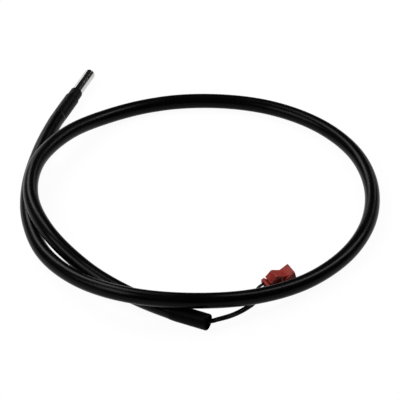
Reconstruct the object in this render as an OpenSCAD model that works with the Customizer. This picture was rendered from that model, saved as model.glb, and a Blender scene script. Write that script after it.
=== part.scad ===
// Temperature probe: thermistor in a steel tube, on a round cable laid in a loose ring,
// with two thin leads and a two-way latching connector at the far end.
// The probe lies along Y with its tip towards +Y, midway about the origin, on the plane z = 0.

/* [Sensing tube] */
// Outside diameter of the steel tube
tube_d = 6; // [5:0.1:7.2]
// Wall of the steel tube
tube_wall = 0.4; // [0.2:0.05:0.6]
// Bare length of the tube, tip included
tube_bare = 21; // [14:0.5:40]
// Length of the tube under the sleeves
tube_hidden = 14; // [8:0.5:18]
// Corner radius of the closed tip
tip_round = 2.2; // [1:0.1:2.5]
// Depth of the grooves rolled into the tube under its sleeves
groove_deep = 0.2; // [0.1:0.05:0.3]
// Width of a rolled groove
groove_w = 0.8; // [0.6:0.1:1.2]

/* [Thermistor] */
// Diameter of the thermistor bead
bead_d = 2.4; // [2.2:0.1:3]
// Length of the thermistor bead
bead_len = 4.2; // [3:0.1:6]
// Gap between the bead and the inside of the tip
bead_gap = 1.2; // [0.5:0.1:3]
// Diameter of a thermistor leg
leg_d = 0.3; // [0.2:0.05:0.4]
// Outside diameter of the sleeving on a leg
leg_sleeve_d = 0.9; // [0.7:0.05:1.1]
// Length of a leg from the bead to its splice
leg_len = 7; // [5:0.5:9]
// Outside diameter of a splice barrel
splice_d = 1.3; // [1.2:0.05:1.5]
// Length of a splice barrel
splice_len = 4; // [3:0.5:5]

/* [Sleeves] */
// Wall of the inner shrink sleeve
inner_wall = 0.35; // [0.15:0.05:0.45]
// Length of the inner sleeve in view
inner_show = 6.5; // [3:0.5:12]
// Length of the inner sleeve's neck behind the tube
inner_neck = 5; // [4:0.5:6]
// Wall of the outer shrink sleeve
outer_wall = 0.49; // [0.25:0.01:0.6]
// Length of the outer shrink sleeve
outer_len = 18.5; // [16:0.5:30]

/* [Cable] */
// Outside diameter of the cable's jacket
cable_d = 7.8; // [6.1:0.1:8.2]
// Diameter of an insulated core or lead
lead_d = 1.4; // [1.15:0.05:1.7]
// Diameter of a bare stranded conductor
strand_d = 0.7; // [0.5:0.05:0.8]
// Gap between strands of cable where one lies on another
strand_gap = 0.2; // [0.1:0.05:0.5]

/* [End sleeve] */
// Wall of the shrink sleeve on the cable's far end
end_wall = 0.3; // [0.2:0.05:0.6]
// Length of the jacket inside the end sleeve
end_cover = 15; // [10:0.5:20]
// Length of the end sleeve past the jacket
end_past = 5; // [4:0.5:8]
// Turned-in lip at the end sleeve's mouth
end_lip = 0.45; // [0.3:0.05:0.6]
// Thickness of the seal in the mouth
seal_t = 2.6; // [2:0.1:3.5]

/* [Connector] */
// Distance between the two contacts
pitch = 2.5; // [2.4:0.02:2.6]
// Length of the housing
con_len = 15.5; // [13:0.5:19]
// Width of the wire entry block
entry_w = 7.4; // [7:0.1:8]
// Length of the wire entry block
entry_len = 2.6; // [2:0.1:3]
// Height of the contact block
block_h = 3; // [2.8:0.1:3.4]
// Width of the body and the latch
body_w = 5.9; // [5.6:0.1:6.4]
// Width over the two guards at the mating end
guard_w = 7.8; // [7.6:0.1:9]
// Length of the guards
guard_len = 5.9; // [5:0.1:6.5]
// Height of the guards and of the latch's ramp at their ridge
ridge_h = 7.3; // [6.8:0.1:8]
// Height of the latch's thumb pad
pad_h = 7.2; // [6.4:0.1:7.6]
// Height of the latch at its pivot
pivot_h = 6; // [5.6:0.1:6.3]
// Thickness of the latch
latch_t = 1.1; // [0.8:0.1:1.3]
// Gap between the latch's nose and a guard
nose_gap = 0.2; // [0.1:0.05:0.3]
// Distance of the latch's pivot from the guards
pivot_back = 1.7; // [1.4:0.1:2]
// Wall of a guard
guard_wall = 0.75; // [0.6:0.05:1]
// Wall at the mating face, with the pin holes
face_wall = 1; // [0.7:0.1:1.4]
// Square hole for a header pin
pin_hole = 0.9; // [0.8:0.05:1]
// Bare length of the lead inside the connector
strip_len = 2.7; // [2:0.1:3.5]
// Sheet thickness of a contact
sheet_t = 0.2; // [0.15:0.05:0.25]

/* [Hidden] */

$fn = 64;
// Room left between pieces that fit one inside another
fit = 0.03;
// Sides of the cable and of a lead
cable_sides = 12;
lead_sides = 8;

// Radii of the sleeves over the tube, from the inside out
inner_r = tube_d / 2 + fit;
outer_r = inner_r + inner_wall + fit;
sleeve_r = outer_r + outer_wall;
// Height of the probe's axis over the plane that it lies on
axis_z = max(sleeve_r, cable_d / 2);
// The outer sleeve's bore at its back end, where the cable's end face meets it
back_r = min(outer_r, cable_d / 2 - 0.3);

// Stations along the probe, from the tip back
tip_y = (tube_bare + inner_show + outer_len) / 2;
bare_y = tip_y - tube_bare;
tube_y = bare_y - tube_hidden;
show_y = bare_y - inner_show;
cable_y = show_y - outer_len;

// Rolled grooves: the radius of their round, how far its middle is from the axis, and where
groove_r = (groove_w * groove_w / 4 + groove_deep * groove_deep) / (2 * groove_deep);
groove_x = tube_d / 2 - groove_deep + groove_r;
grooves = [bare_y - groove_w / 2, tube_y + 3];

// The two wires lie side by side, a tenth of a millimetre apart at their widest
side_gap = 0.1;
wire_x = (max(lead_d, splice_d, leg_sleeve_d) + side_gap) / 2;
bead_y = tip_y - tube_wall - bead_gap;
bead_back = bead_y - bead_len;
bead_back_r = wire_x + leg_d / 2 + 0.05;
splice_mid = bead_back - leg_len;
splice_front = splice_mid + splice_len / 2;
splice_back = splice_mid - splice_len / 2;
core_y = splice_back - 1;

// The inner sleeve shrinks down to a neck round the two cores
neck_r = wire_x + lead_d / 2 + 0.1;
cone_y = tube_y - 0.2;
cone_len = 3;
neck_y = tube_y - inner_neck;

// End sleeve: where it starts, which way it points, and how it lies
end_spot = [115.5, -159.8];
end_turn = -5.5;
end_r = cable_d / 2 + fit + end_wall;
end_len = end_cover + end_past;
function end_at(s, side = 0, up = 0) =
  [end_spot[0] + s * cos(end_turn) - side * sin(end_turn),
   end_spot[1] + s * sin(end_turn) + side * cos(end_turn), end_r + up];

// The cable's route: x, y, and how far it is lifted, from 0 on the plane to 1 on another strand
cable_points = [
  [3.1, -56, 0], [10, -86.4, 0], [21.8, -114.7, 0.01], [40.5, -139.1, 0.11],
  [66.5, -156.1, 0.47], [96.5, -163.6, 0.98], [126.9, -157.5, 1.04], [151.7, -139.3, 0.53],
  [170.5, -115.1, 0.15], [181.8, -86, 0.01], [183.6, -55.6, 0], [175.4, -25.6, 0], [158.1, 0, 0],
  [132.8, 17.3, 0], [102.9, 24.1, 0], [72.4, 19.7, 0], [44.8, 6, 0], [24.9, -16.6, 0.24],
  [13.7, -45.2, 0.82], [9.6, -75.6, 1], [18.5, -105.1, 1], [38.3, -129.3, 0.91],
  [64.8, -144.5, 0.28], [90.5, -153.7, 0.02]];

// Connector: middle of its back edge on the plane, and its direction
plug_spot = [150.2, -121.4];
plug_turn = 46;
function plug_at(x, y, z) =
  [plug_spot[0] + x * sin(plug_turn) + y * cos(plug_turn),
   plug_spot[1] - x * cos(plug_turn) + y * sin(plug_turn), z];

// Where the pair of leads leaves the end sleeve: as far from its axis as the mouth allows, low
lead_reach = end_r - end_lip - lead_d / 2 - 0.3;
lead_half = (lead_d + side_gap) / 2;
lead_off = lead_reach * cos(14.3) - lead_half;
lead_rise = -lead_reach * sin(14.3);

// The pair of leads between the end sleeve and the connector: x, y, and the level of its middle,
// from 0 on the plane to 1 on the sleeve's axis
lead_points = [
  [139.4, -158.4, 1.2], [141.4, -157.2, 1.31], [143.3, -155.3, 1.31], [144.9, -152.7, 1.19],
  [146.3, -149.5, 1], [147.4, -146.1, 0.77], [148.4, -142.3, 0.53], [149.2, -138.6, 0.3],
  [149.3, -135, 0.03], [148.5, -131.5, 0.03], [148.7, -128, 0.05], [148.7, -124.5, 0.15]];

// Connector: contacts and their cavities
crimp_r = lead_d / 2 + fit + sheet_t;
cav_w = 2 * crimp_r + 0.24;
cav_h = 2 * crimp_r + 0.14;
cav_z = block_h / 2 + 0.05;
lead_in = 2.5;
box_w = 2 * crimp_r + 0.04;
box_h = 2 * crimp_r - 0.16;
box_y = 6.5;
box_end = con_len - face_wall - 0.3;
lance_y = 9.3;
lance_len = 1.9;

// Connector: stations of the guards and the latch
guard_y = con_len - guard_len;
pivot_y = guard_y - pivot_back;
pivot_t = 1.1;
pad_y = 5.2;
nose_w = min(body_w, guard_w - 2 * guard_wall - 2 * nose_gap);
ridge_y = con_len - 0.85;
web_z = cav_z + cav_h / 2 + 0.1;

// Points on a smooth curve through all but the first and last of a list, which only guide it
function curve(a, b, c, d, t) =
  0.5 * (2 * b + (c - a) * t + (2 * a - 5 * b + 4 * c - d) * t * t
         + (3 * b - a - 3 * c + d) * t * t * t);
function spline(p, n) = concat(
  [for (i = [1 : len(p) - 3], k = [0 : n - 1]) curve(p[i - 1], p[i], p[i + 1], p[i + 2], k / n)],
  [p[len(p) - 2]]);

// Unit vector, and the direction of a path at its point i
function unit(v) = v / norm(v);
function heading(p, i) = unit(p[min(i + 1, len(p) - 1)] - p[max(i - 1, 0)]);
function left_of(t) = unit([-t[1], t[0], 0]);

// One ring of a tube, square to the path
function ring(p, i, r, n) = let(t = heading(p, i), u = left_of(t), v = cross(t, u))
  [for (k = [0 : n - 1]) p[i] + r * (cos(360 * k / n) * u + sin(360 * k / n) * v)];

// The cable's middle line, kept on the plane
function laid(q) = [q[0], q[1], max(q[2], cable_d / 2)];
cable_path = concat(
  [[0, cable_y, axis_z]],
  [for (q = spline(concat(
    [[0, cable_y + 20, axis_z], [0, cable_y - 4, axis_z]],
    [for (p = cable_points) [p[0], p[1], cable_d / 2 + p[2] * (cable_d + strand_gap)]],
    [end_at(0), end_at(end_len)]), 2)) laid(q)],
  [end_at(end_cover)]);

// The leads' middle line with half their spacing, and the line of one lead, side 1 or -1
function with_half(p, h) = [p[0], p[1], p[2], h];
pair_path = spline(concat(
  [for (back = [6, 0]) with_half(end_at(end_cover - back, lead_off, lead_rise), lead_half),
   with_half(end_at(end_len - 0.4, lead_off, lead_rise), lead_half)],
  [for (i = [0 : len(lead_points) - 1]) let(p = lead_points[i])
    with_half([p[0], p[1], lead_d / 2 + p[2] * (end_r - lead_d / 2)],
              i < len(lead_points) - 1 ? lead_half : (lead_half + pitch) / 3)],
  [for (y = [0.3, lead_in, 2 * lead_in]) with_half(plug_at(0, y, cav_z), pitch / 2)]), 1);
pair_line = [for (q = pair_path) [q[0], q[1], q[2]]];
function lead_line(side) = [for (i = [0 : len(pair_line) - 1])
  pair_line[i] + side * pair_path[i][3] * left_of(heading(pair_line, i))];

// Tube along a path, closed by a flat face at each end
module tube(path, r, n) {
  m = len(path);
  polyhedron(
    points = [for (i = [0 : m - 1]) each ring(path, i, r, n)],
    faces = concat(
      [[for (k = [0 : n - 1]) n - 1 - k]],
      [for (i = [0 : m - 2], k = [0 : n - 1]) each [
        [i * n + k, i * n + (k + 1) % n, (i + 1) * n + (k + 1) % n],
        [i * n + k, (i + 1) * n + (k + 1) % n, (i + 1) * n + k]]],
      [[for (k = [0 : n - 1]) (m - 1) * n + k]]),
    convexity = 8);
}

// Places for pieces whose own Z runs along the probe, the end sleeve and the connector
module on_probe() {
  translate([0, 0, axis_z]) rotate([-90, 0, 0]) children();
}

module on_end() {
  translate(end_at(0)) rotate([0, 0, end_turn]) rotate([0, 90, 0]) children();
}

module on_plug() {
  translate([plug_spot[0], plug_spot[1], 0]) rotate([0, 0, plug_turn - 90]) children();
}

// Rod or tube along the local Z from station a to station b
module rod(x, r, a, b) {
  translate([x, 0, a]) cylinder(r = r, h = b - a);
}

module pipe(x, r, bore, a, b) {
  difference() {
    rod(x, r, a, b);
    rod(x, bore, a - 1, b + 1);
  }
}

// Half outline of a round bar, radius by station, with a rounded front edge
module bar_2d(r, a, b, round) {
  union() {
    translate([0, a]) square([r, b - a - round]);
    translate([0, a]) square([r - round, b - a]);
    translate([r - round, b - round]) intersection() {
      circle(r = round);
      square(round);
    }
  }
}

// Outline in a side view, as wide as w about the connector's middle plane
module side_cut(w, points) {
  translate([-w / 2, 0, 0]) rotate([90, 0, 90]) linear_extrude(height = w) polygon(points);
}

module block(w, y0, y1, z0, z1) {
  translate([-w / 2, y0, z0]) cube([w, y1 - y0, z1 - z0]);
}

module along_plug(x, r, y0, y1) {
  translate([x, y0, cav_z]) rotate([-90, 0, 0]) cylinder(r = r, h = y1 - y0);
}

// Inside outline of the tube, smaller by a gap, with the rolled grooves standing in
module tube_inside_2d(from, gap) {
  difference() {
    bar_2d(tube_d / 2 - tube_wall - gap, from, tip_y - tube_wall - gap,
           tip_round - tube_wall - gap);
    for (y = grooves) translate([groove_x, y]) circle(r = groove_r + tube_wall + gap);
  }
}

// Closed steel tube, drawn with a rounded end, two grooves rolled in where the sleeves cover it
module probe_tube() {
  color([0.76, 0.77, 0.78]) on_probe() rotate_extrude() difference() {
    bar_2d(tube_d / 2, tube_y, tip_y, tip_round);
    tube_inside_2d(tube_y - 1, 0);
    for (y = grooves) translate([groove_x, y]) circle(r = groove_r);
  }
}

// Sensing bead, round in front and narrower where its legs come out
module thermistor_bead() {
  color([0.12, 0.13, 0.12]) on_probe() difference() {
    rotate_extrude() union() {
      polygon([[0, bead_back], [bead_back_r, bead_back], [bead_d / 2, bead_y - bead_d / 2],
               [0, bead_y - bead_d / 2]]);
      translate([0, bead_y - bead_d / 2]) intersection() {
        circle(r = bead_d / 2);
        square(bead_d / 2);
      }
    }
    for (x = [-wire_x, wire_x]) rod(x, leg_d / 2, bead_back - 1, bead_back + 0.8);
  }
}

module thermistor_leg(x) {
  color([0.8, 0.78, 0.72]) on_probe() rod(x, leg_d / 2, splice_mid, bead_back + 0.8);
}

module leg_sleeve(x) {
  color([0.85, 0.83, 0.72]) on_probe()
    pipe(x, leg_sleeve_d / 2, leg_d / 2 + fit, splice_front + 0.1, bead_back - 0.5);
}

// Splice barrel: wide bore for the conductor, narrow bore for the leg, pressed in at both halves
module splice(x) {
  dent = splice_len / 8;
  color([0.78, 0.77, 0.74]) on_probe() translate([x, 0, 0]) difference() {
    rotate_extrude() polygon([
      [0, splice_back], [splice_d / 2, splice_back],
      [splice_d / 2, splice_mid - 2.6 * dent], [splice_d / 2 - 0.09, splice_mid - 2.2 * dent],
      [splice_d / 2 - 0.09, splice_mid - 1.2 * dent], [splice_d / 2, splice_mid - 0.8 * dent],
      [splice_d / 2, splice_mid + 0.8 * dent], [splice_d / 2 - 0.09, splice_mid + 1.2 * dent],
      [splice_d / 2 - 0.09, splice_mid + 2.2 * dent], [splice_d / 2, splice_mid + 2.6 * dent],
      [splice_d / 2, splice_front], [0, splice_front]]);
    rod(0, strand_d / 2 + fit, splice_back - 1, splice_mid);
    rod(0, leg_d / 2 + fit, splice_mid - 0.5, splice_front + 1);
  }
}

module conductor(x) {
  color([0.82, 0.8, 0.76]) on_probe() rod(x, strand_d / 2, cable_y, splice_mid - 0.05);
}

module core(x) {
  color([0.09, 0.09, 0.09]) on_probe()
    pipe(x, lead_d / 2, strand_d / 2 + fit, cable_y, core_y);
}

// Everything that the potting and the adhesive leave room for, round one wire
module wire_room(x) {
  rod(x, lead_d / 2 + fit, cable_y - 1, core_y + fit);
  rod(x, strand_d / 2 + fit, core_y, splice_back);
  rod(x, splice_d / 2 + fit, splice_back - fit, splice_front + fit);
  rod(x, leg_sleeve_d / 2 + fit, splice_front, bead_back - 0.5 + fit);
  rod(x, leg_d / 2 + fit, bead_back - 0.5, bead_back);
}

// Epoxy that fills the tube from its tip to its open end
module potting() {
  color([0.18, 0.15, 0.13]) on_probe() difference() {
    rotate_extrude() tube_inside_2d(tube_y, fit);
    rotate_extrude() union() {
      polygon([[0, bead_back - fit], [bead_back_r + fit, bead_back - fit],
               [bead_d / 2 + fit, bead_y - bead_d / 2], [0, bead_y - bead_d / 2]]);
      translate([0, bead_y - bead_d / 2]) intersection() {
        circle(r = bead_d / 2 + fit);
        square(bead_d / 2 + fit);
      }
    }
    for (x = [-wire_x, wire_x]) wire_room(x);
  }
}

// Inner sleeve: tight on the tube, then a cone and a neck on the cores
module inner_shrink() {
  color([0.06, 0.06, 0.065]) on_probe() rotate_extrude() polygon([
    [inner_r, cone_y], [inner_r, bare_y], [inner_r + inner_wall - 0.1, bare_y],
    [inner_r + inner_wall, bare_y - 0.1], [inner_r + inner_wall, cone_y],
    [neck_r + inner_wall, cone_y - cone_len], [neck_r + inner_wall, neck_y],
    [neck_r, neck_y], [neck_r, cone_y - cone_len]]);
}

// Adhesive between the two sleeves, behind the tube and round the cores
module adhesive_fill() {
  slope = (inner_r - neck_r) / cone_len;
  color([0.3, 0.26, 0.18]) on_probe() difference() {
    rotate_extrude() polygon([
      [0, cable_y], [back_r - fit, cable_y], [back_r - fit, cable_y + 1],
      [outer_r - fit, cable_y + 2], [outer_r - fit, cone_y - 0.3],
      [inner_r + inner_wall - 0.3 * slope + 2 * fit, cone_y - 0.3],
      [neck_r + inner_wall + 2 * fit, cone_y - cone_len],
      [neck_r + inner_wall + 2 * fit, neck_y - fit], [0, neck_y - fit]]);
    for (x = [-wire_x, wire_x]) wire_room(x);
  }
}

module outer_shrink() {
  color([0.04, 0.04, 0.045]) on_probe() rotate_extrude() polygon([
    [back_r, cable_y], [sleeve_r, cable_y], [sleeve_r, cable_y + 5], [sleeve_r - 0.1, show_y - 0.2],
    [sleeve_r - 0.25, show_y], [outer_r, show_y], [outer_r, cable_y + 2], [back_r, cable_y + 1]]);
}

module cable() {
  color([0.05, 0.05, 0.055]) tube(cable_path, cable_d / 2, cable_sides);
}

// Sleeve shrunk on the cable's end, its mouth turned in
module end_shrink() {
  color([0.04, 0.04, 0.04]) on_end() rotate_extrude() difference() {
    bar_2d(end_r, 0, end_len, end_lip);
    translate([0, -1]) square([cable_d / 2 + fit, end_len - end_lip + 1]);
    polygon([[0, -1], [cable_d / 2 + 0.15, -1], [cable_d / 2 + 0.15, 0], [cable_d / 2 + fit, 1.2],
             [0, 1.2]]);
    translate([0, -1]) square([end_r - end_lip, end_len + 2]);
  }
}

// Seal against the jacket's cut end, with a hole for each lead
module end_seal() {
  color([0.1, 0.1, 0.1]) on_end() difference() {
    rod(0, cable_d / 2, end_cover, end_cover + seal_t);
    for (y = [lead_off - lead_half, lead_off + lead_half])
      translate([-lead_rise, y, 0])
        rod(0, lead_d / 2 + fit, end_cover - 1, end_cover + seal_t + 1);
  }
}

module lead(side) {
  color([0.05, 0.05, 0.05]) tube(lead_line(side), lead_d / 2, lead_sides);
}

module strand(x) {
  color([0.82, 0.8, 0.76]) on_plug() along_plug(x, strand_d / 2, lead_in, lead_in + strip_len);
}

// Crimped socket contact: insulation crimp, wire crimp, neck, box with its spring, and lance
module contact(x) {
  wire_r = strand_d / 2 + fit + sheet_t;
  base0 = cav_z - crimp_r - 0.02;
  base1 = cav_z - wire_r - 0.02;
  base2 = cav_z - box_h / 2 + 0.02;
  base_t = sheet_t - 0.04;
  roof = cav_z + box_h / 2 - sheet_t;
  color([0.83, 0.79, 0.66]) on_plug() {
    difference() {
      union() {
        along_plug(x, crimp_r, 0.5, 2.3);
        along_plug(x, wire_r, 3, 5.2);
        translate([x, 0, 0]) side_cut(1, [
          [0.5, base0], [2.3, base0], [3, base1], [5.2, base1], [box_y, base2],
          [box_y + 0.4, base2], [box_y + 0.4, base2 + base_t], [box_y, base2 + base_t],
          [5.2, base1 + base_t], [3, base1 + base_t], [2.3, base0 + base_t],
          [0.5, base0 + base_t]]);
      }
      along_plug(x, lead_d / 2 + fit, 0, 2.6);
      along_plug(x, strand_d / 2 + fit, 2.6, 5.4);
      translate([x, 0, 0]) block(0.2, 0, 5.4, cav_z, cav_z + 2 * crimp_r);
    }
    difference() {
      translate([x, 0, 0]) block(box_w, box_y, box_end, cav_z - box_h / 2, cav_z + box_h / 2);
      translate([x, 0, 0]) block(box_w - 2 * sheet_t, box_y - 1, box_end + 1,
                                 cav_z - box_h / 2 + sheet_t, roof);
    }
    translate([x, 0, 0]) side_cut(box_w - 0.6, [
      [box_end, roof + 0.05], [box_end - 0.5, roof + 0.05], [box_end - 2.6, cav_z + 0.36],
      [box_end - 5, roof - 0.05], [box_end - 5, roof - 0.2], [box_end - 2.7, cav_z + 0.2],
      [box_end - 2.5, cav_z + 0.2], [box_end - 0.5, roof - 0.12], [box_end, roof - 0.12]]);
    translate([x, 0, 0]) side_cut(0.8, [
      [lance_y, 0.2], [lance_y + lance_len, cav_z - box_h / 2 - 0.01],
      [lance_y + lance_len, cav_z - box_h / 2 + 0.1], [lance_y + lance_len - 0.2,
      cav_z - box_h / 2 + 0.1], [lance_y, 0.35]]);
  }
}

// Rocking latch in the side view: thumb pad, pivot web and a ramped nose with its hook below
module latch() {
  waist_z = pivot_h - 0.35;
  side_cut(body_w, [
    [pad_y - 3.4, pad_h - 3.1], [pad_y - 3.3, pad_h - 2.9], [pad_y - 0.35, pad_h - 0.1],
    [pad_y, pad_h], [pad_y + 0.4, pad_h - 0.05], [pivot_y + pivot_t, pivot_h],
    [guard_y, pivot_h - 0.15], [guard_y, pivot_h - 0.15 - latch_t],
    [pivot_y + pivot_t, pivot_h - 0.1 - latch_t], [pivot_y + pivot_t, web_z], [pivot_y, web_z],
    [pivot_y, pivot_h + 0.2 - latch_t], [pad_y + 0.3, pad_h - latch_t],
    [pad_y - 2.3, pad_h - 3.6], [pad_y - 2.9, pad_h - 3.5]]);
  side_cut(nose_w, [
    [guard_y, pivot_h - 0.15], [guard_y + 1.4, waist_z], [guard_y + 2, waist_z + 0.1],
    [ridge_y - 0.2, ridge_h - 0.05], [ridge_y, ridge_h], [ridge_y + 0.15, ridge_h - 0.1],
    [con_len - 0.25, block_h + 1.6], [con_len - 0.6, block_h + 0.6], [con_len - 1.3, block_h + 0.6],
    [con_len - 1.6, waist_z - latch_t + 0.3], [guard_y + 1.8, waist_z - latch_t],
    [guard_y, pivot_h - 0.15 - latch_t]]);
  for (k = [0 : 2]) translate([0, pad_y - 2.6 + 0.8 * k, pad_h - 2.29 + 0.76 * k])
    rotate([0, 90, 0]) cylinder(r = 0.22, h = body_w - 1.4, center = true);
}

// Guard on each side of the latch's nose, with the same ramp
module guard(side) {
  translate([side * (guard_w - guard_wall) / 2, 0, 0]) side_cut(guard_wall, [
    [guard_y, 0.5], [con_len, 0.5], [con_len, block_h + 1.1], [ridge_y + 0.1, ridge_h - 0.1],
    [ridge_y - 0.1, ridge_h - 0.05], [guard_y + 0.5, ridge_h - 2.45],
    [guard_y, ridge_h - 2.9]]);
}

// Room for one contact: cavity, opening in the back lip, pin hole in the face, lance window
module contact_room(x) {
  translate([x, 0, 0]) {
    block(cav_w, -1, con_len - face_wall, cav_z - cav_h / 2, cav_z + cav_h / 2);
    block(pin_hole, con_len - face_wall - 1, con_len + 1, cav_z - pin_hole / 2,
          cav_z + pin_hole / 2);
    block(1.1, lance_y - 0.1, lance_y + lance_len + 0.2, -1, cav_z);
  }
}

// Moulded housing: wire entry, contact block and base of the guards in one, the latch on its back
module connector_housing() {
  color([0.55, 0.16, 0.14]) on_plug() union() {
    difference() {
      union() {
        side_cut(entry_w, [
          [0.25, 0], [entry_len, 0], [entry_len, block_h - 0.6], [entry_len - 0.7, block_h - 0.6],
          [entry_len - 0.9, block_h], [0.9, block_h], [0, block_h - 0.5], [0, 1]]);
        block(body_w, 0.5, con_len, 0, block_h);
        block(guard_w, guard_y, con_len, 0, block_h);
        for (side = [-1, 1]) guard(side);
        for (side = [-1, 1]) translate([side * body_w / 2, 0, 0])
          block(0.8, entry_len - 0.5, guard_y + 0.5, 0.7, 1.5);
      }
      block(entry_w + 1, entry_len - 0.7, entry_len, block_h - 0.6, block_h + 1);
      contact_room(-pitch / 2);
      contact_room(pitch / 2);
    }
    latch();
  }
}

probe_tube();
thermistor_bead();
thermistor_leg(-wire_x);  // thermistor_leg_a
thermistor_leg(wire_x);  // thermistor_leg_b
leg_sleeve(-wire_x);  // leg_sleeve_a
leg_sleeve(wire_x);  // leg_sleeve_b
splice(-wire_x);  // splice_a
splice(wire_x);  // splice_b
conductor(-wire_x);  // conductor_a
conductor(wire_x);  // conductor_b
core(-wire_x);  // core_a
core(wire_x);  // core_b
potting();
inner_shrink();
adhesive_fill();
outer_shrink();
cable();
end_shrink();
end_seal();
lead(1);  // lead_a
lead(-1);  // lead_b
strand(-pitch / 2);  // strand_a
strand(pitch / 2);  // strand_b
contact(-pitch / 2);  // contact_a
contact(pitch / 2);  // contact_b
connector_housing();
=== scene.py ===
from math import sin, cos, pi, radians, hypot

import bpy
import bmesh
from mathutils import Matrix, Vector


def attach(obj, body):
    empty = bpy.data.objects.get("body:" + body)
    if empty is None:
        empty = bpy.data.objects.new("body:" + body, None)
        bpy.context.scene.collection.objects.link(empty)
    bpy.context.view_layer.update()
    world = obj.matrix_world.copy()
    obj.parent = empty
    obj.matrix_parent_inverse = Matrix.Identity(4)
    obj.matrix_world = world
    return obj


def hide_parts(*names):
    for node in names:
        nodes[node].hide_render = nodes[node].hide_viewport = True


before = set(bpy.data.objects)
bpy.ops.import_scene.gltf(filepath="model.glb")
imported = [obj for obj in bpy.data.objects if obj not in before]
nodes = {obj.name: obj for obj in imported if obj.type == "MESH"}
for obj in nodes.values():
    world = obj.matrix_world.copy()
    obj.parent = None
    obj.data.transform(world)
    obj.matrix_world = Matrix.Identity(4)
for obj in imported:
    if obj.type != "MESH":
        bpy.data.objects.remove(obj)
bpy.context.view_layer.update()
coll = bpy.context.scene.collection

# ---------------------------------------------------------------- camera
AIM = Vector((0.096907, -0.068146, 0.003908))
EYE = Vector((0.484307, -1.132446, 0.826808))
cam_data = bpy.data.cameras.new("photo_camera")
cam_data.sensor_fit = "HORIZONTAL"
cam_data.sensor_width = 36.0
cam_data.lens = 245.6
cam_data.clip_start = 0.05
cam_data.clip_end = 20.0
cam = bpy.data.objects.new("photo_camera", cam_data)
cam.location = EYE
cam.rotation_euler = (AIM - EYE).to_track_quat("-Z", "Y").to_euler()
coll.objects.link(cam)
bpy.context.scene.camera = cam

# ---------------------------------------------------------------- sizes, in metres
CABLE_D = 0.0078
LEAD_D = 0.0014
GAP = 0.0002              # between two strands of the cable where one passes over the other
CABLE_Y = -0.0230         # where the cable leaves the outer sleeve
STRAIGHT = 0.004          # how far it runs straight on from there
AXIS_Z = 0.0039           # height of the probe's axis
END_R = 0.00423           # end sleeve: radius, middle of its end on the cable's side, turn, length
END_SPOT = Vector((0.1155, -0.1598, END_R))
END_TURN = radians(-5.5)
END_LEN = 0.020
END_COVER = 0.015         # how far the cable reaches into the end sleeve
END_WALL = 0.00045
LEAD_CLEAR = 0.0003       # from the leads to the end sleeve's wall
LEAD_ANGLE = radians(14.3)
LEAD_HALF = 0.00075       # from the pair's middle to each lead
LEAD_REACH = END_R - END_WALL - LEAD_D / 2 - LEAD_CLEAR
LEAD_OFF = LEAD_REACH * cos(LEAD_ANGLE) - LEAD_HALF
LEAD_RISE = -LEAD_REACH * sin(LEAD_ANGLE)
PITCH = 0.0025            # of the connector
PLUG_SPOT = Vector((0.1502, -0.1214, 0.0))
PLUG_TURN = radians(46)
CAV_Z = 0.00155           # height of the middle of the connector's cavities
LEAD_IN = 0.0025          # how far the leads reach into it

# the cable's route: x, y and how far it is lifted, from 0 on the floor to 1 on another strand
ROUTE = [
    (0.0029, -0.0561, 0), (0.0096, -0.0866, 0), (0.0217, -0.1148, 0.01), (0.0405, -0.1391, 0.11),
    (0.0665, -0.1561, 0.47), (0.0965, -0.1636, 0.98), (0.1269, -0.1575, 1.04),
    (0.1517, -0.1393, 0.53), (0.1705, -0.1151, 0.15), (0.1818, -0.086, 0.01),
    (0.1836, -0.0556, 0), (0.1754, -0.0256, 0), (0.1581, 0, 0), (0.1328, 0.0173, 0),
    (0.1029, 0.0241, 0), (0.0724, 0.0197, 0), (0.0448, 0.006, 0), (0.0249, -0.0166, 0.24),
    (0.0136, -0.0453, 0.82), (0.0101, -0.0756, 1), (0.0188, -0.105, 1), (0.0384, -0.1292, 0.91),
    (0.0648, -0.1445, 0.28), (0.0905, -0.1537, 0.02)]

# middle of the pair of leads: x, y and its level, from 0 on the floor to 1 on the sleeve's axis
LEADS = [
    (0.1394, -0.1584, 1.2), (0.1414, -0.1572, 1.31), (0.1433, -0.1553, 1.31),
    (0.1449, -0.1527, 1.19), (0.1463, -0.1495, 1), (0.1474, -0.1461, 0.77),
    (0.1484, -0.1423, 0.53), (0.1492, -0.1386, 0.3), (0.1493, -0.135, 0.03),
    (0.1485, -0.1315, 0.03), (0.1487, -0.128, 0.05), (0.1487, -0.1245, 0.15)]


# ---------------------------------------------------------------- places and routes
def end_at(s, side=0.0, up=0.0):
    """Place at station s along the end sleeve's axis."""
    c, n = cos(END_TURN), sin(END_TURN)
    return END_SPOT + Vector((s * c - side * n, s * n + side * c, up))


def plug_at(x, y, z):
    """Place in the connector's own axes: x across, y along it from the wire entries."""
    c, n = cos(PLUG_TURN), sin(PLUG_TURN)
    return PLUG_SPOT + Vector((x * n + y * c, -x * c + y * n, z))


def spline(points, per):
    """Catmull-Rom curve through all but the first and last point."""
    out = []
    for i in range(1, len(points) - 2):
        a, b, c, d = (Vector(p) for p in points[i - 1:i + 3])
        for k in range(per):
            t = k / per
            out.append(0.5 * (2 * b + (c - a) * t + (2 * a - 5 * b + 4 * c - d) * t * t
                              + (3 * b - a - 3 * c + d) * t ** 3))
    out.append(Vector(points[-2]))
    return out


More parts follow.
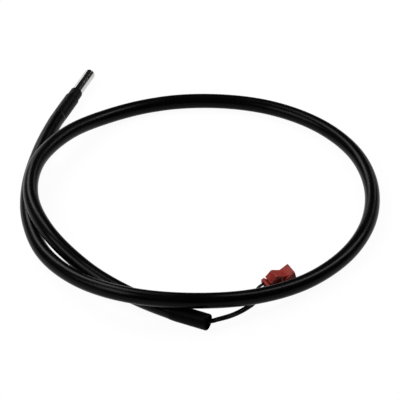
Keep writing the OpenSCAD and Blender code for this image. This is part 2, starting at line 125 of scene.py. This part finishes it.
def cable_path(per=20):
    guide = [(0, CABLE_Y + 0.020, AXIS_Z), (0, CABLE_Y - STRAIGHT, AXIS_Z)]
    guide += [(x, y, CABLE_D / 2 + lift * (CABLE_D + GAP)) for x, y, lift in ROUTE]
    guide += [end_at(0), end_at(END_LEN)]
    middle = [Vector((q.x, q.y, max(q.z, CABLE_D / 2))) for q in spline(guide, per)]
    first = [Vector((0, CABLE_Y - STRAIGHT * k / 4, AXIS_Z)) for k in range(4)]
    last = [end_at(END_COVER * (k + 1) / 8) for k in range(8)]
    return first + middle + last


def pair_path(per=8):
    """Middle of the pair of leads, with half the distance between them as a fourth value."""
    third = (LEAD_HALF + PITCH) / 3
    guide = [(*end_at(s, LEAD_OFF, LEAD_RISE), LEAD_HALF)
             for s in (END_COVER - 0.006, END_COVER, END_LEN - 0.0004)]
    guide += [(x, y, LEAD_D / 2 + level * (END_R - LEAD_D / 2),
               LEAD_HALF if i < len(LEADS) - 1 else third)
              for i, (x, y, level) in enumerate(LEADS)]
    guide += [(*plug_at(0, y, CAV_Z), PITCH / 2) for y in (0.0003, LEAD_IN, 2 * LEAD_IN)]
    return spline(guide, per)


def lead_path(side):
    """One lead's line: the pair's middle, moved to its own side."""
    pair = pair_path()
    line = [Vector(q[:3]) for q in pair]
    out = []
    for i, q in enumerate(line):
        t = line[min(i + 1, len(line) - 1)] - line[max(i - 1, 0)]
        out.append(q + side * pair[i][3] * Vector((-t.y, t.x, 0)).normalized())
    return out


# ---------------------------------------------------------------- mesh helpers
def link(name, bm, smooth=True):
    mesh = bpy.data.meshes.new(name)
    bm.to_mesh(mesh)
    bm.free()
    obj = bpy.data.objects.new(name, mesh)
    coll.objects.link(obj)
    for p in mesh.polygons:
        p.use_smooth = smooth
    return obj


def sweep(name, path, radius, sides=40, shape=None):
    """Tube along a path, with a flat cap at each end; its UV map is in metres, along and around."""
    bm = bmesh.new()
    uv = bm.loops.layers.uv.new("UVMap")
    rings, dist = [], [0.0]
    for a, b in zip(path[:-1], path[1:]):
        dist.append(dist[-1] + (b - a).length)
    for i, q in enumerate(path):
        t = (path[min(i + 1, len(path) - 1)] - path[max(i - 1, 0)]).normalized()
        u = Vector((-t.y, t.x, 0)).normalized()
        v = t.cross(u)
        ring = []
        for k in range(sides):
            a = 2 * pi * k / sides
            r = radius * (1 + (shape(dist[i], a) if shape else 0))
            ring.append(bm.verts.new(q + r * (cos(a) * u + sin(a) * v)))
        rings.append(ring)
    for i in range(len(rings) - 1):
        for k in range(sides):
            j = (k + 1) % sides
            f = bm.faces.new((rings[i][k], rings[i][j], rings[i + 1][j], rings[i + 1][k]))
            f.smooth = True
            for loop, (s, n) in zip(f.loops, ((i, k), (i, k + 1), (i + 1, k + 1), (i + 1, k))):
                loop[uv].uv = (dist[s], n / sides * 2 * pi * radius)
    for ring in (list(reversed(rings[0])), rings[-1]):
        f = bm.faces.new(ring)
        f.smooth = False
    bm.normal_update()
    obj = link(name, bm)
    for p in obj.data.polygons:
        p.use_smooth = len(p.vertices) == 4
    return obj


def revolve(name, profile, place, sides=96, shape=None):
    """Turned piece: profile is a closed list of (radius, station), place puts its Z axis."""
    bm = bmesh.new()
    uv = bm.loops.layers.uv.new("UVMap")
    n = len(profile)
    along = [0.0]
    for (r0, z0), (r1, z1) in zip(profile, profile[1:] + profile[:1]):
        along.append(along[-1] + hypot(r1 - r0, z1 - z0))
    grid = []
    for r, z in profile:
        ring = []
        for k in range(sides):
            a = 2 * pi * k / sides
            rr = r * (1 + shape(z, a, r)) if shape and r > 0 else r
            ring.append(bm.verts.new(place @ Vector((rr * cos(a), rr * sin(a), z))))
        grid.append(ring)
    for i in range(n):
        m = (i + 1) % n
        for k in range(sides):
            j = (k + 1) % sides
            f = bm.faces.new((grid[i][k], grid[i][j], grid[m][j], grid[m][k]))
            for loop, (s, c) in zip(f.loops, ((i, k), (i, k + 1), (i + 1, k + 1), (i + 1, k))):
                loop[uv].uv = (along[s], c / sides * 2 * pi * profile[i][0])
    bmesh.ops.remove_doubles(bm, verts=bm.verts, dist=1e-8)
    bmesh.ops.recalc_face_normals(bm, faces=bm.faces)
    return link(name, bm)


def arc(cx, cz, r, a0, a1, n=8):
    return [(cx + r * cos(radians(a0 + (a1 - a0) * k / n)),
             cz + r * sin(radians(a0 + (a1 - a0) * k / n))) for k in range(n + 1)]


def split_edges(obj, angle):
    """Keeps edges sharper than angle (in degrees) hard under smooth shading."""
    mod = obj.modifiers.new("smooth", "EDGE_SPLIT")
    mod.split_angle = radians(angle)


ON_PROBE = Matrix.Translation((0, 0, AXIS_Z)) @ Matrix.Rotation(-pi / 2, 4, "X")
ON_END = (Matrix.Translation(END_SPOT) @ Matrix.Rotation(END_TURN, 4, "Z")
          @ Matrix.Rotation(pi / 2, 4, "Y"))


# ---------------------------------------------------------------- materials
class Mat:
    """A small builder for a Principled material from procedural nodes."""

    def __init__(self, name, color, rough, metal=0.0, spec=0.5, **sockets):
        self.m = bpy.data.materials.new(name)
        self.m.use_nodes = True
        self.t = self.m.node_tree
        self.bsdf = self.t.nodes["Principled BSDF"]
        self.set("Base Color", (*color, 1))
        self.set("Roughness", rough)
        self.set("Metallic", metal)
        self.set("Specular IOR Level", spec)
        for key, value in sockets.items():
            self.set(key.replace("_", " "), value)
        self.height = None

    def set(self, name, value):
        self.bsdf.inputs[name].default_value = value

    def node(self, kind, **props):
        n = self.t.nodes.new(kind)
        for key, value in props.items():
            setattr(n, key, value)
        return n

    def link(self, a, b):
        self.t.links.new(a, b)

    def coord(self, scale, uv=False):
        src = self.node("ShaderNodeTexCoord").outputs["UV" if uv else "Object"]
        mapping = self.node("ShaderNodeMapping")
        mapping.inputs["Scale"].default_value = scale
        self.link(src, mapping.inputs["Vector"])
        return mapping.outputs["Vector"]

    def noise(self, scale, detail=3.0, rough=0.5, uv=False, size=1.0):
        n = self.node("ShaderNodeTexNoise")
        n.inputs["Scale"].default_value = size
        n.inputs["Detail"].default_value = detail
        n.inputs["Roughness"].default_value = rough
        self.link(self.coord(scale, uv), n.inputs["Vector"])
        return n.outputs["Fac"]

    def spread(self, fac, low, high, f0=0.3, f1=0.7):
        n = self.node("ShaderNodeMapRange")
        n.inputs["From Min"].default_value = f0
        n.inputs["From Max"].default_value = f1
        n.inputs["To Min"].default_value = low
        n.inputs["To Max"].default_value = high
        self.link(fac, n.inputs["Value"])
        return n.outputs["Result"]

    def vary_color(self, fac, a, b, f0=0.3, f1=0.7):
        ramp = self.node("ShaderNodeValToRGB")
        ramp.color_ramp.elements[0].position = f0
        ramp.color_ramp.elements[0].color = (*a, 1)
        ramp.color_ramp.elements[1].position = f1
        ramp.color_ramp.elements[1].color = (*b, 1)
        self.link(fac, ramp.inputs["Fac"])
        self.link(ramp.outputs["Color"], self.bsdf.inputs["Base Color"])

    def vary_rough(self, fac, low, high, f0=0.3, f1=0.7):
        self.link(self.spread(fac, low, high, f0, f1), self.bsdf.inputs["Roughness"])

    def bump(self, fac, strength, distance):
        n = self.node("ShaderNodeBump")
        n.inputs["Strength"].default_value = strength
        n.inputs["Distance"].default_value = distance
        self.link(fac, n.inputs["Height"])
        if self.height:
            self.link(self.height, n.inputs["Normal"])
        self.height = n.outputs["Normal"]
        self.link(self.height, self.bsdf.inputs["Normal"])


def put(obj, mat):
    obj.data.materials.clear()
    obj.data.materials.append(mat.m)


def make_materials():
    mats = {}

    # cable jacket: soft PVC, drawn along its length, with a fine skin and dull patches
    m = Mat("jacket_black", (0.0010, 0.0010, 0.0012), 0.28, spec=0.06)
    broad = m.noise((60, 90, 60), 3.0, uv=True)
    m.vary_color(broad, (0.0006, 0.0006, 0.0007), (0.0014, 0.0014, 0.0018))
    m.vary_rough(broad, 0.24, 0.32)
    m.bump(m.noise((120, 1500, 1), 3.0, uv=True), 0.25, 0.00003)
    m.bump(m.noise((1800, 1800, 1), 2.0, uv=True), 0.20, 0.00002)
    mats["jacket"] = m

    # shrink sleeves: duller than the jacket, a faint wrinkle round them
    m = Mat("shrink_black", (0.0012, 0.0012, 0.0016), 0.40, spec=0.055)
    soft = m.noise((300, 300, 300), 4.0)
    m.vary_color(soft, (0.0006, 0.0006, 0.0009), (0.0018, 0.0017, 0.0026))
    m.vary_rough(soft, 0.34, 0.46)
    m.bump(soft, 0.5, 0.00006)
    m.bump(m.noise((5200, 5200, 5200), 2.0), 0.25, 0.000012)
    mats["shrink"] = m

    # the far end's sleeve is the dullest of them
    m = Mat("shrink_end", (0.0012, 0.0012, 0.0014), 0.44, spec=0.03)
    soft = m.noise((340, 340, 340), 4.0)
    m.vary_color(soft, (0.0008, 0.0008, 0.0010), (0.0020, 0.0020, 0.0024))
    m.vary_rough(soft, 0.40, 0.50)
    m.bump(soft, 0.25, 0.00004)
    m.bump(m.noise((5200, 5200, 5200), 2.0), 0.2, 0.00001)
    mats["shrink_end"] = m

    # the inner sleeve: uneven gloss, faint wrinkles round it
    m = Mat("shrink_inner", (0.002, 0.002, 0.002), 0.45, spec=0.055)
    soft = m.noise((420, 900, 420), 3.0)
    m.vary_rough(soft, 0.38, 0.52)
    m.vary_color(soft, (0.0012, 0.0012, 0.0014), (0.0032, 0.0032, 0.0034))
    m.bump(soft, 0.3, 0.00004)
    mats["shrink_inner"] = m

    # thin leads: smooth insulation
    m = Mat("wire_black", (0.012, 0.012, 0.013), 0.4, spec=0.1)
    soft = m.noise((200, 2500, 1), 3.0, uv=True)
    m.vary_color(soft, (0.0022, 0.0022, 0.0024), (0.0042, 0.0042, 0.0045))
    m.vary_rough(soft, 0.34, 0.48)
    m.bump(soft, 0.2, 0.00001)
    mats["wire"] = m

    # drawn stainless tube: fine polishing lines round it, a few dull smudges
    m = Mat("steel", (0.53, 0.53, 0.53), 0.16, metal=1.0)
    rings = m.noise((500, 9000, 500), 4.0, 0.6)
    smudge = m.noise((180, 120, 180), 4.0)
    m.vary_color(smudge, (0.48, 0.48, 0.48), (0.58, 0.58, 0.57))
    m.vary_rough(smudge, 0.11, 0.18)
    m.bump(rings, 0.18, 0.000004)
    mats["steel"] = m

    # moulded red housing: fine spark-eroded skin, colour a little deeper in places
    m = Mat("red_plastic", (0.20, 0.012, 0.007), 0.44, spec=0.16)
    soft = m.noise((260, 260, 260), 3.0)
    m.vary_color(soft, (0.178, 0.010, 0.005), (0.222, 0.016, 0.010))
    m.vary_rough(soft, 0.40, 0.52)
    m.bump(m.noise((5200, 5200, 5200), 3.0, 0.6), 0.3, 0.00001)
    m.bump(soft, 0.12, 0.00004)
    m.set("Subsurface Weight", 0.12)
    m.set("Subsurface Radius", (0.0012, 0.0003, 0.0002))
    m.set("Subsurface Scale", 1.0)
    mats["red"] = m

    # tin-plated sheet
    m = Mat("contact_metal", (0.80, 0.77, 0.68), 0.3, metal=1.0)
    soft = m.noise((1500, 1500, 1500), 4.0)
    m.vary_color(soft, (0.70, 0.66, 0.56), (0.86, 0.83, 0.76))
    m.vary_rough(soft, 0.22, 0.42)
    m.bump(m.noise((9000, 1200, 9000), 3.0), 0.2, 0.000006)
    mats["contact"] = m

    # tinned copper wire
    m = Mat("tinned_wire", (0.78, 0.76, 0.72), 0.35, metal=1.0)
    soft = m.noise((2600, 700, 2600), 4.0)
    m.vary_color(soft, (0.66, 0.60, 0.52), (0.84, 0.82, 0.79))
    m.vary_rough(soft, 0.28, 0.5)
    m.bump(soft, 0.4, 0.00002)
    mats["tinned"] = m

    # casting resin
    m = Mat("potting", (0.02, 0.018, 0.016), 0.3)
    soft = m.noise((700, 700, 700), 3.0)
    m.vary_color(soft, (0.014, 0.012, 0.011), (0.032, 0.028, 0.025))
    m.vary_rough(soft, 0.22, 0.45)
    m.bump(soft, 0.4, 0.00006)
    mats["potting"] = m

    # hot-melt adhesive
    m = Mat("adhesive", (0.25, 0.19, 0.11), 0.35)
    soft = m.noise((500, 500, 500), 3.0)
    m.vary_color(soft, (0.20, 0.15, 0.08), (0.31, 0.24, 0.15))
    m.vary_rough(soft, 0.3, 0.5)
    m.bump(soft, 0.3, 0.00005)
    mats["adhesive"] = m

    # glass-coated bead
    m = Mat("bead", (0.03, 0.05, 0.04), 0.15, spec=0.6, Coat_Weight=0.5, Coat_Roughness=0.08)
    soft = m.noise((1400, 1400, 1400), 3.0)
    m.vary_color(soft, (0.02, 0.04, 0.03), (0.05, 0.08, 0.06))
    m.vary_rough(soft, 0.1, 0.25)
    mats["bead"] = m

    # pale sleeving on the bead's legs
    m = Mat("sleeving", (0.78, 0.75, 0.64), 0.5, spec=0.4)
    soft = m.noise((1600, 1600, 1600), 3.0)
    m.vary_color(soft, (0.70, 0.66, 0.54), (0.84, 0.81, 0.72))
    m.vary_rough(soft, 0.42, 0.6)
    m.bump(soft, 0.3, 0.00002)
    mats["sleeving"] = m
    return mats


MATS = make_materials()

# ---------------------------------------------------------------- the cords
OVAL = 0.0035             # the cable's ovality as a share of its radius
OVAL_TWIST = 0.09         # length in which it turns once


def cable_shape(s, a):
    return OVAL * sin(2 * (a - s * 2 * pi / OVAL_TWIST)) - OVAL


path = cable_path()
cable = sweep("cable_jacket", path, CABLE_D / 2, 48, cable_shape)
put(cable, MATS["jacket"])
leads = []
for node_name, side in (("lead_a", 1), ("lead_b", -1)):
    line = lead_path(side)
    piece = sweep(node_name + "_wire", line, LEAD_D / 2, 24)
    put(piece, MATS["wire"])
    leads.append((node_name, piece, line))


# ---------------------------------------------------------------- tube and sleeves
# stations and radii in mm; station 0 is the frame's origin, and they rise to the closed tip
MM = 0.001
TUBE_R, BORE_R, TUBE_BACK = 3.0, 2.6, -12
GROOVE_BACK, GROOVE_FRONT = -9, 1.6
DOME_X, DOME_Y, DOME_R, DOME_IN = 0.8, 20.8, 2.2, 1.8
TIP, TIP_IN = 23.0, 22.6
INNER_R, OUTER_R = 3.38, 3.9
INNER_FRONT, OUTER_BACK = 2.0, -23
END_OUT = 4.23


def scaled(points):
    return [(r * MM, z * MM) for r, z in points]


def groove(r, y, inside):
    """Rolled groove 0.8 wide and 0.2 deep, in the order of rising station."""
    steps = [(-0.4, 0), (-0.3, 0.06), (-0.2, 0.14), (-0.1, 0.185), (0, 0.2), (0.1, 0.185),
             (0.2, 0.14), (0.3, 0.06), (0.4, 0)]
    wide = 1.45 if inside else 1.0
    return [(r - deep, y + wide * d) for d, deep in steps]


outside = [(TUBE_R, y) for y in (TUBE_BACK, -11.9, -9.5)] + groove(TUBE_R, GROOVE_BACK, False)
outside += [(TUBE_R, y) for y in (-8.5, -4, 1.1)] + groove(TUBE_R, GROOVE_FRONT, False)
outside += [(TUBE_R, y) for y in (2.04, 2.12, 2.4, 3, 5, 8, 11, 14, 17, 19, 20.3, 20.7)]
outside += arc(DOME_X, DOME_Y, DOME_R, 0, 90, 14)
inside = [(BORE_R, TUBE_BACK)] + groove(BORE_R, GROOVE_BACK, True)
inside += groove(BORE_R, GROOVE_FRONT, True) + arc(DOME_X, DOME_Y, DOME_IN, 0, 90, 10)
tube = revolve("steel_tube", scaled(outside + [(0, TIP), (0, TIP_IN)] + inside[::-1]), ON_PROBE)
split_edges(tube, 35)
put(tube, MATS["steel"])


def inner_shape(z, a, r):
    """A slow wave on the part of the inner sleeve that lies in front of station 0."""
    return -0.004 * (1 + sin(3 * a + 900 * z)) if r > 0.00335 and z > 0 else 0


# over the tube's back end, and narrowed behind it
inner = revolve("inner_sleeve", scaled(
    [(3.03, -12.2), (3.03, INNER_FRONT), (3.25, INNER_FRONT), (3.34, 1.96), (INNER_R, 1.86)]
    + [(INNER_R, y) for y in (1.7, 1.2, 0, -2, -4, -12.2)]
    + [(2.0, -15.2), (2.0, -17.0), (1.65, -17.0), (1.65, -15.2)]), ON_PROBE, shape=inner_shape)
split_edges(inner, 35)
put(inner, MATS["shrink_inner"])


def outer_shape(z, a, r):
    """Shrunk on unevenly: a hair of ovality and a slow wave along it."""
    if r < 0.0036:
        return 0
    return -0.003 * (1 + sin(2 * a + 160 * z)) - 0.003 * (1 + sin(520 * z + 2 * sin(a)))


rows = [OUTER_BACK + k * 18.2 / 24 for k in range(25)]
outer = revolve("outer_sleeve", scaled(
    [(3.41, OUTER_BACK), (3.84, OUTER_BACK), (3.88, -22.9)] + [(OUTER_R, z) for z in rows[1:]]
    + [(OUTER_R, -4.68), (3.87, -4.58), (3.8, -4.52), (3.72, -4.5), (3.41, -4.5)]), ON_PROBE,
    shape=outer_shape)
split_edges(outer, 40)
put(outer, MATS["shrink"])


def end_shape(z, a, r):
    """Ovality of the end sleeve's full part."""
    return -0.003 * (1 + sin(2 * a + 210 * z)) if r > 0.0041 else 0


rows = [4 + 15 * k / 20 for k in range(21)]
end_sleeve = revolve("end_sleeve", scaled(
    [(3.93, 0), (3.99, 0), (4.03, 0.06), (4.07, 0.6), (4.13, 1.4), (4.19, 2.6)]
    + [(END_OUT, z) for z in rows]
    + [(3.80 + 0.43 * cos(radians(a)), 19.0 + sin(radians(a))) for a in range(12, 91, 13)]
    + [(3.78, 19.98), (3.78, 19.6), (3.93, 19.3)]), ON_END, shape=end_shape)
split_edges(end_sleeve, 40)
put(end_sleeve, MATS["shrink_end"])

# ---------------------------------------------------------------- connector housing
ON_PLUG = Matrix.Translation(PLUG_SPOT) @ Matrix.Rotation(PLUG_TURN - pi / 2, 4, "Z")
# in mm from the wire entries and the floor: _Y stations, _W widths, _H heights, _T thicknesses
CON_LEN, ENTRY_W, ENTRY_LEN, BLOCK_H, BODY_W = 15.5, 7.4, 2.6, 3.0, 5.9
GUARD_W, GUARD_T, GUARD_Y, RIDGE_H, RIDGE_Y = 7.8, 0.75, 9.6, 7.3, 14.65
PAD_Y, PAD_H, PIVOT_H, PIVOT_Y, LATCH_T = 5.2, 7.2, 6.0, 7.9, 1.1
ROOM_Z, ROOM_H, ROOM_W = 1.55, 2.0, 2.1
NOSE_W = min(BODY_W, GUARD_W - 2 * GUARD_T - 0.4)
PIN_HOLE, WINDOW_W = 0.9, 1.1
EDGE_ROUND, RIB_R = 0.00009, 0.00022   # in metres


def prism(bm, points, width, x=0.0):
    """Side view (y, z) in mm, width across, about x."""
    ends = [[bm.verts.new(((x + side * width / 2) * MM, y * MM, z * MM)) for y, z in points]
            for side in (-1, 1)]
    bm.faces.new(ends[0])
    bm.faces.new(ends[1][::-1])
    n = len(points)
    for i in range(n):
        j = (i + 1) % n
        bm.faces.new((ends[0][j], ends[0][i], ends[1][i], ends[1][j]))


def bar(bm, width, y0, y1, z0, z1, x=0.0):
    prism(bm, [(y0, z0), (y1, z0), (y1, z1), (y0, z1)], width, x)


def solid(name, bm):
    bmesh.ops.recalc_face_normals(bm, faces=bm.faces)
    return link(name, bm, False)


def apply_modifiers(obj):
    """Bakes the modifiers into the mesh."""
    deps = bpy.context.evaluated_depsgraph_get()
    mesh = bpy.data.meshes.new_from_object(obj.evaluated_get(deps))
    obj.modifiers.clear()
    old, obj.data = obj.data, mesh
    bpy.data.meshes.remove(old)


def make_housing():
    """The moulded body with its latch and guards, its cavities cut out and its edges rounded."""
    bm = bmesh.new()
    low = BLOCK_H - 0.6
    prism(bm, [(0.25, 0), (ENTRY_LEN, 0), (ENTRY_LEN, low), (ENTRY_LEN - 0.7, low),
               (ENTRY_LEN - 0.9, BLOCK_H), (0.9, BLOCK_H), (0, BLOCK_H - 0.5), (0, 1)], ENTRY_W)
    prism(bm, [(0.5, 0), (CON_LEN, 0), (CON_LEN, BLOCK_H), (ENTRY_LEN, BLOCK_H),
               (ENTRY_LEN, low), (0.5, low)], BODY_W)
    bar(bm, GUARD_W, GUARD_Y, CON_LEN, 0, BLOCK_H)
    for side in (-1, 1):
        prism(bm, [(GUARD_Y, 0.5), (CON_LEN, 0.5), (CON_LEN, BLOCK_H + 1.1),
                   (RIDGE_Y + 0.1, RIDGE_H - 0.1), (RIDGE_Y - 0.1, RIDGE_H - 0.05),
                   (GUARD_Y + 0.5, RIDGE_H - 2.45), (GUARD_Y, RIDGE_H - 2.9)],
              GUARD_T, side * (GUARD_W - GUARD_T) / 2)
        bar(bm, 0.8, ENTRY_LEN - 0.5, GUARD_Y + 0.5, 0.7, 1.5, side * BODY_W / 2)
    # the latch: pad, arm and the web that carries it, then its nose between the guards
    top, under = PIVOT_H - 0.15, PIVOT_H - 0.15 - LATCH_T
    web = ROOM_Z + ROOM_H / 2 + 0.1
    prism(bm, [(PAD_Y - 3.4, PAD_H - 3.1), (PAD_Y - 3.3, PAD_H - 2.9), (PAD_Y - 0.35, PAD_H - 0.1),
               (PAD_Y, PAD_H), (PAD_Y + 0.4, PAD_H - 0.05), (PIVOT_Y + 1.1, PIVOT_H),
               (GUARD_Y, top), (GUARD_Y, under), (PIVOT_Y + 1.1, PIVOT_H - 0.1 - LATCH_T),
               (PIVOT_Y + 1.1, web), (PIVOT_Y, web), (PIVOT_Y, PIVOT_H + 0.2 - LATCH_T),
               (PAD_Y + 0.3, PAD_H - LATCH_T), (PAD_Y - 2.3, PAD_H - 3.6),
               (PAD_Y - 2.9, PAD_H - 3.5)], BODY_W)
    waist = PIVOT_H - 0.35
    prism(bm, [(GUARD_Y - 0.3, top), (GUARD_Y + 1.4, waist), (GUARD_Y + 2, waist + 0.1),
               (RIDGE_Y - 0.2, RIDGE_H - 0.05), (RIDGE_Y, RIDGE_H), (RIDGE_Y + 0.15, RIDGE_H - 0.1),
               (CON_LEN - 0.25, BLOCK_H + 1.6), (CON_LEN - 0.6, BLOCK_H + 0.6),
               (CON_LEN - 1.3, BLOCK_H + 0.6), (CON_LEN - 1.6, waist - LATCH_T + 0.3),
               (GUARD_Y + 1.8, waist - LATCH_T), (GUARD_Y - 0.3, under)], NOSE_W)
    body = solid("housing", bm)

    # cavities, pin holes and lance windows
    bm = bmesh.new()
    for x in (-PITCH / MM / 2, PITCH / MM / 2):
        bar(bm, ROOM_W, -1, CON_LEN - 1, ROOM_Z - ROOM_H / 2, ROOM_Z + ROOM_H / 2, x)
        bar(bm, PIN_HOLE, CON_LEN - 2, CON_LEN + 1,
            ROOM_Z - PIN_HOLE / 2, ROOM_Z + PIN_HOLE / 2, x)
        bar(bm, WINDOW_W, 9.2, 11.4, -1, ROOM_Z, x)
    rooms = solid("rooms", bm)
    cut = body.modifiers.new("cut", "BOOLEAN")
    cut.operation, cut.object, cut.solver, cut.use_self = "DIFFERENCE", rooms, "EXACT", True
    apply_modifiers(body)
    bpy.data.objects.remove(rooms)

    # moulded edges, and the grip ribs that lie on the pad
    bm = bmesh.new()
    bm.from_mesh(body.data)
    bmesh.ops.remove_doubles(bm, verts=bm.verts, dist=2e-6)
    bmesh.ops.dissolve_limit(bm, angle_limit=radians(1), verts=bm.verts, edges=bm.edges)
    sharp = [e for e in bm.edges if len(e.link_faces) == 2
             and e.calc_face_angle(0) > radians(18)]
    bmesh.ops.bevel(bm, geom=sharp, offset=EDGE_ROUND, segments=2, profile=0.5, affect="EDGES",
                    clamp_overlap=True)
    for k in range(3):
        rib = Matrix.Translation((0, (PAD_Y - 2.6 + 0.8 * k) * MM, (PAD_H - 2.29 + 0.76 * k) * MM))
        made = bmesh.ops.create_cone(
            bm, cap_ends=True, segments=20, radius1=RIB_R, radius2=RIB_R,
            depth=(BODY_W - 1.4) * MM, matrix=rib @ Matrix.Rotation(pi / 2, 4, "Y"))
        caps = [e for v in made["verts"] for e in v.link_edges if e.calc_face_angle(0) > 1]
        bmesh.ops.bevel(bm, geom=list(set(caps)), offset=0.0001, segments=2, affect="EDGES")
    bmesh.ops.transform(bm, matrix=ON_PLUG, verts=bm.verts)
    bm.to_mesh(body.data)
    bm.free()
    for poly in body.data.polygons:
        poly.use_smooth = True
    keep = body.modifiers.new("normals", "WEIGHTED_NORMAL")
    keep.mode, keep.keep_sharp, keep.weight = "FACE_AREA", True, 80
    return body


housing = make_housing()
put(housing, MATS["red"])

for piece, node_name, slot in (
        (tube, "probe_tube", "steel"), (inner, "inner_shrink", "shrink_black"),
        (outer, "outer_shrink", "shrink_black"), (end_sleeve, "end_shrink", "shrink_black"),
        (housing, "connector_housing", "red_plastic")):
    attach(piece, "root")
    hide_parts(node_name)

# ---------------------------------------------------------------- CAD nodes and their finishes
finish = {
    "probe_tube": "steel", "thermistor_bead": "bead", "thermistor_leg_a": "tinned",
    "thermistor_leg_b": "tinned", "leg_sleeve_a": "sleeving", "leg_sleeve_b": "sleeving",
    "splice_a": "tinned", "splice_b": "tinned", "conductor_a": "tinned",
    "conductor_b": "tinned", "core_a": "wire", "core_b": "wire", "potting": "potting",
    "inner_shrink": "shrink_inner", "adhesive_fill": "adhesive", "outer_shrink": "shrink",
    "cable": "jacket", "end_shrink": "shrink", "end_seal": "potting", "lead_a": "wire",
    "lead_b": "wire", "strand_a": "tinned", "strand_b": "tinned", "contact_a": "contact",
    "contact_b": "contact", "connector_housing": "red"}
for name, obj in nodes.items():
    put(obj, MATS[finish[name]])

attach(cable, "root")
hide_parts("cable")
for node_name, piece, line in leads:
    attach(piece, "root")
    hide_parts(node_name)

# ---------------------------------------------------------------- floor and lights
bm = bmesh.new()
bmesh.ops.create_grid(bm, x_segments=8, y_segments=8, size=3.0)
floor = link("floor", bm, False)
floor.location = (0.1, -0.07, -0.00005)   # a hair below the object, so the two don't share a plane
FLOOR_COLOR = 0.94
GLOW_SHARE = 0.95         # what camera, glossy and transmission rays see as plain white; the rest
                          # is lit, and keeps the object's shadow
fm = bpy.data.materials.new("floor_white")
fm.use_nodes = True
nt = fm.node_tree
nt.nodes.clear()


def math_node(operation, a, b):
    """Math node on two sockets, or on a socket and a number."""
    n = nt.nodes.new("ShaderNodeMath")
    n.operation = operation
    for value, socket in zip((a, b), n.inputs):
        if isinstance(value, float):
            socket.default_value = value
        else:
            nt.links.new(value, socket)
    return n.outputs[0]


out = nt.nodes.new("ShaderNodeOutputMaterial")
diffuse = nt.nodes.new("ShaderNodeBsdfDiffuse")
diffuse.inputs["Color"].default_value = (FLOOR_COLOR, FLOOR_COLOR, FLOOR_COLOR, 1)
glow = nt.nodes.new("ShaderNodeEmission")
glow.inputs["Color"].default_value = (1, 1, 1, 1)
glow.inputs["Strength"].default_value = 1.0
seen = nt.nodes.new("ShaderNodeMixShader")
rays = nt.nodes.new("ShaderNodeLightPath")
through = math_node("MAXIMUM", rays.outputs["Is Glossy Ray"], rays.outputs["Is Transmission Ray"])
seen_by = math_node("MAXIMUM", rays.outputs["Is Camera Ray"], through)
nt.links.new(math_node("MULTIPLY", seen_by, GLOW_SHARE), seen.inputs["Fac"])
nt.links.new(diffuse.outputs[0], seen.inputs[1])
nt.links.new(glow.outputs[0], seen.inputs[2])
nt.links.new(seen.outputs[0], out.inputs["Surface"])
floor.data.materials.append(fm)

world = bpy.data.worlds.new("studio")
world.use_nodes = True
background = world.node_tree.nodes["Background"]
background.inputs["Color"].default_value = (1, 1, 1, 1)
background.inputs["Strength"].default_value = 0.012
bpy.context.scene.world = world
FILL_GROW = 1.6           # a fill's size against its softbox


def softbox(name, place, size, lean, power, fill):
    """A softbox that gloss mirrors, and the wider fill that belongs to it and only lights.

    lean turns it about its own axis, in degrees; power and fill are in watts."""
    for label, watts, grow in ((name, power, 1.0), (name + "_fill", fill, FILL_GROW)):
        if not watts:
            continue
        data = bpy.data.lights.new(label, "AREA")
        data.shape = "RECTANGLE"
        data.size, data.size_y = size[0] * grow, size[1] * grow
        data.energy = watts
        obj = bpy.data.objects.new(label, data)
        aim = (AIM - Vector(place)).to_track_quat("-Z", "Y").to_matrix().to_4x4()
        obj.matrix_world = Matrix.Translation(place) @ aim @ Matrix.Rotation(radians(lean), 4, "Z")
        obj.visible_glossy = label == name
        coll.objects.link(obj)


softbox("left_back", (-0.80, 0.60, 1.08), (0.45, 1.14), -12, 11.75, 5.95)
softbox("left_low", (-0.86, 0.92, 0.31), (0.32, 0.56), -4, 0.85, 0)
softbox("right_back", (0.49, 0.42, 0.70), (0.23, 0.46), 16, 3.625, 1.625)
softbox("back_low", (0.47, 2.41, 0.84), (0.46, 1.00), 6, 3.375, 0)
softbox("right_low", (0.64, 0.76, 0.07), (0.34, 0.16), 0, 0.112, 0)
softbox("left_front", (-0.29, -0.39, 0.41), (0.34, 0.24), 0, 1.8, 1.32)

bpy.context.scene.view_settings.view_transform = "Standard"
